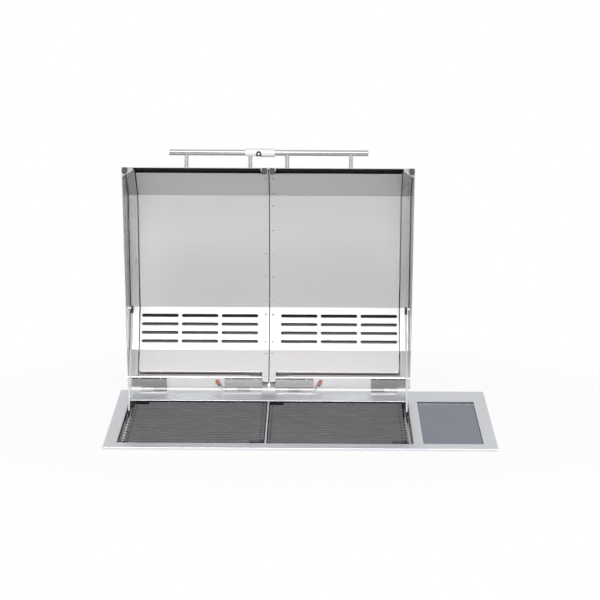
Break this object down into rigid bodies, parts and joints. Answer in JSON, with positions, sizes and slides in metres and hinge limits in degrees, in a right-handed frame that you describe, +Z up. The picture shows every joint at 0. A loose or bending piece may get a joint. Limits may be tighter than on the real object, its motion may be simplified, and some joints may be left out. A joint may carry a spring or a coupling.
{
  "type": "built-in electric grill",
  "caption": "Flush-fitted electric grill with ribbed plates, a glass touch panel and two hood lids that open on rear hinges, held by stays and linked by a sliding handle sleeve.",
  "frame": {"origin": "centre of the deck in plan, at the worktop surface that the deck rim lies on", "axes": "+X to the right along the deck, +Y to the rear where the hinges are, +Z up"},
  "size_m": [0.75, 0.6289, 0.6402],
  "materials": {
    "deck_steel": "fine brushed stainless",
    "seal_rubber": "matt foam rubber",
    "housing_steel": "galvanised sheet",
    "tub_steel": "black enamelled sheet",
    "plate_cast": "dark grey non-stick coating on a casting",
    "heater_steel": "heat-blued tube",
    "panel_glass": "polished, grey-blue back print",
    "black_plastic": "fine grain",
    "circuit_board": "solder mask",
    "hinge_steel": "satin",
    "lid_steel": "fine brushed stainless",
    "liner_steel": "bright stainless",
    "seal_black": "matt moulded",
    "handle_steel": "polished",
    "sleeve_white": "pale satin",
    "cap_orange": "dipped vinyl"
  },
  "bodies": {
    "base": {"top_plate": "deck_steel", "worktop_seal": "seal_rubber", "outer_housing": "housing_steel", "housing_left_end": "housing_steel", "housing_right_end": "housing_steel", "worktop_clamps": "hinge_steel", "well_tub": "tub_steel", "plate_rests": "tub_steel", "well_divider": "deck_steel", "left_drip_tray": "tub_steel", "right_drip_tray": "tub_steel", "left_heating_element": "heater_steel", "right_heating_element": "heater_steel", "element_bars": "tub_steel", "left_stay_rail": "hinge_steel", "right_stay_rail": "hinge_steel", "control_glass": "panel_glass", "glass_frame": "black_plastic", "control_board": "circuit_board", "power_board": "circuit_board", "heat_shield": "housing_steel", "terminal_block": "black_plastic", "cable_gland": "black_plastic", "left_hinge_leaves": "hinge_steel", "right_hinge_leaves": "hinge_steel", "left_hinge_pin": "hinge_steel", "right_hinge_pin": "hinge_steel"},
    "left_lid": {"left_lid_shell": "lid_steel", "left_lid_outer_cheek": "liner_steel", "left_lid_inner_cheek": "lid_steel", "left_lid_liner": "liner_steel", "left_lid_vent_panel": "liner_steel", "left_lid_seals": "seal_black", "left_lid_hinge_leaves": "hinge_steel", "left_handle_bar": "handle_steel", "left_handle_posts": "handle_steel", "left_stay_bracket": "hinge_steel"},
    "right_lid": {"right_lid_shell": "lid_steel", "right_lid_outer_cheek": "liner_steel", "right_lid_inner_cheek": "lid_steel", "right_lid_liner": "liner_steel", "right_lid_vent_panel": "liner_steel", "right_lid_seals": "seal_black", "right_lid_hinge_leaves": "hinge_steel", "right_handle_bar": "handle_steel", "right_handle_posts": "handle_steel", "right_stay_bracket": "hinge_steel"},
    "left_stay": {"left_stay_rod": "handle_steel", "left_stay_fittings": "black_plastic"},
    "right_stay": {"right_stay_rod": "handle_steel", "right_stay_fittings": "black_plastic"},
    "sleeve": {"handle_sleeve": "sleeve_white", "sleeve_catch": "black_plastic"},
    "left_pin": {"left_release_pin": "handle_steel", "left_release_cap": "cap_orange"},
    "right_pin": {"right_release_pin": "handle_steel", "right_release_cap": "cap_orange"},
    "left_plate": {"left_grill_plate": "plate_cast"},
    "right_plate": {"right_grill_plate": "plate_cast"}
  },
  "joints": [
    {"name": "left_lid_hinge", "type": "hinge", "parent": "base", "child": "left_lid", "pos_m": [-0.06825, 0.26225, 0.0093], "axis": [1, 0, 0], "range_deg": [0, 71]},
    {"name": "right_lid_hinge", "type": "hinge", "parent": "base", "child": "right_lid", "pos_m": [-0.06825, 0.26225, 0.0093], "axis": [1, 0, 0], "range_deg": [0, 71]},
    {"name": "left_stay_pivot", "type": "hinge", "parent": "left_lid", "child": "left_stay", "pos_m": [-0.3465, 0.21147, 0.18748], "axis": [1, 0, 0], "range_deg": [-119.7, 0]},
    {"name": "right_stay_pivot", "type": "hinge", "parent": "right_lid", "child": "right_stay", "pos_m": [0.2115, 0.21147, 0.18748], "axis": [1, 0, 0], "range_deg": [-119.7, 0]},
    {"name": "sleeve_slide", "type": "slide", "parent": "left_lid", "child": "sleeve", "axis": [-1, 0, 0], "range_m": [0, 0.016]},
    {"name": "left_pin_pull", "type": "slide", "parent": "left_lid", "child": "left_pin", "axis": [-1, 0, 0], "range_m": [0, 0.012], "stiffness_N_per_m": 150, "springref_m": -0.004},
    {"name": "right_pin_pull", "type": "slide", "parent": "right_lid", "child": "right_pin", "axis": [1, 0, 0], "range_m": [0, 0.012], "stiffness_N_per_m": 150, "springref_m": -0.004},
    {"name": "left_plate_lift", "type": "slide", "parent": "base", "child": "left_plate", "axis": [0, 0, 1], "range_m": [0, 0.035]},
    {"name": "right_plate_lift", "type": "slide", "parent": "base", "child": "right_plate", "axis": [0, 0, 1], "range_m": [0, 0.035]}
  ],
  "couplings": [
    {"joint": "right_lid_hinge", "follows": "left_lid_hinge", "ratio": 1},
    {"joint": "left_stay_pivot", "follows": "left_lid_hinge", "ratio": -1.6834},
    {"joint": "right_stay_pivot", "follows": "left_lid_hinge", "ratio": -1.6834}
  ]
}
